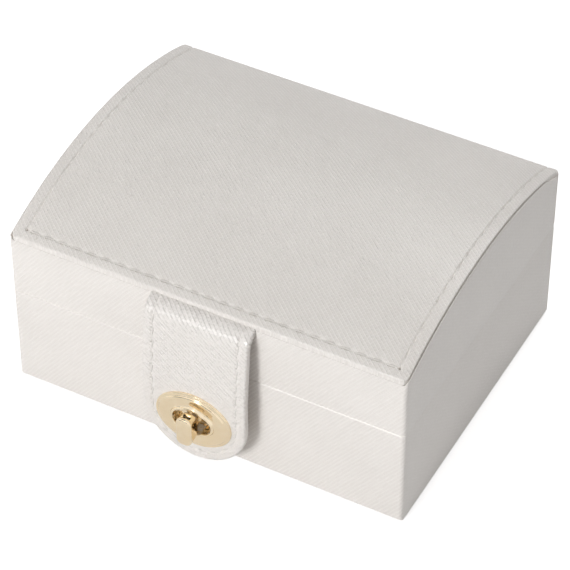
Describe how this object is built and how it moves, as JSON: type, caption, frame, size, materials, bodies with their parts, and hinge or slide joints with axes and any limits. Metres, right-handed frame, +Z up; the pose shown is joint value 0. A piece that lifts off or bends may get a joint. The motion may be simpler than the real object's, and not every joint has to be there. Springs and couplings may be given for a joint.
{
  "type": "jewelry box",
  "caption": "Small domed leather-covered jewelry box with a hinged lid, a strap and a turn lock, and a lined inside with ring rolls and compartments.",
  "frame": {"origin": "centre of the box's footprint on the underside", "axes": "+Z up, the front with the strap and lock faces -Y, +X to the right seen from the front"},
  "size_m": [0.12, 0.1072, 0.0621],
  "materials": {
    "embossed_leather": "cross-grain embossed, pearl off-white",
    "board": "pressed greyboard, covered",
    "velvet": "short-pile velvet",
    "gold_plate": "polished, light gold plated",
    "mirror": "silvered glass",
    "underside_sheet": "felt-faced paper"
  },
  "bodies": {
    "base": {"base_wrap": "embossed_leather", "base_back_leather": "embossed_leather", "base_floor_board": "board", "base_front_board": "board", "base_back_board": "board", "base_side_boards": "board", "base_floor_lining": "velvet", "base_wall_lining": "velvet", "underside_sheet": "underside_sheet", "ring_rolls": "velvet", "long_divider": "velvet", "cross_divider": "velvet", "short_divider": "velvet", "hinge_cloth_lower": "velvet", "lock_base_plate": "gold_plate", "lock_back_washer": "gold_plate"},
    "knob": {"turn_knob": "gold_plate"},
    "lid": {"lid_wrap": "embossed_leather", "lid_front_board": "board", "lid_back_board": "board", "lid_side_boards": "board", "lid_top_board": "board", "lid_wall_lining": "velvet", "lid_inner_panel": "velvet", "top_cover": "embossed_leather", "mirror_glass": "mirror", "mirror_frame": "embossed_leather", "hinge_cloth_upper": "velvet", "strap_tab": "embossed_leather"},
    "strap": {"strap_face": "embossed_leather", "strap_back": "embossed_leather", "lock_oval_plate": "gold_plate", "lock_oval_backing": "gold_plate"}
  },
  "joints": [
    {"name": "lid_hinge", "type": "hinge", "parent": "base", "child": "lid", "pos_m": [0, 0.0475, 0.03335], "axis": [-1, 0, 0], "range_deg": [0, 100]},
    {"name": "strap_flap", "type": "hinge", "parent": "lid", "child": "strap", "pos_m": [0, -0.0491, 0.0501], "axis": [-1, 0, 0], "range_deg": [0, 100]},
    {"name": "turn_knob", "type": "hinge", "parent": "base", "child": "knob", "pos_m": [0, -0.0475, 0.0167], "axis": [0, 1, 0], "range_deg": [0, 90]}
  ]
}
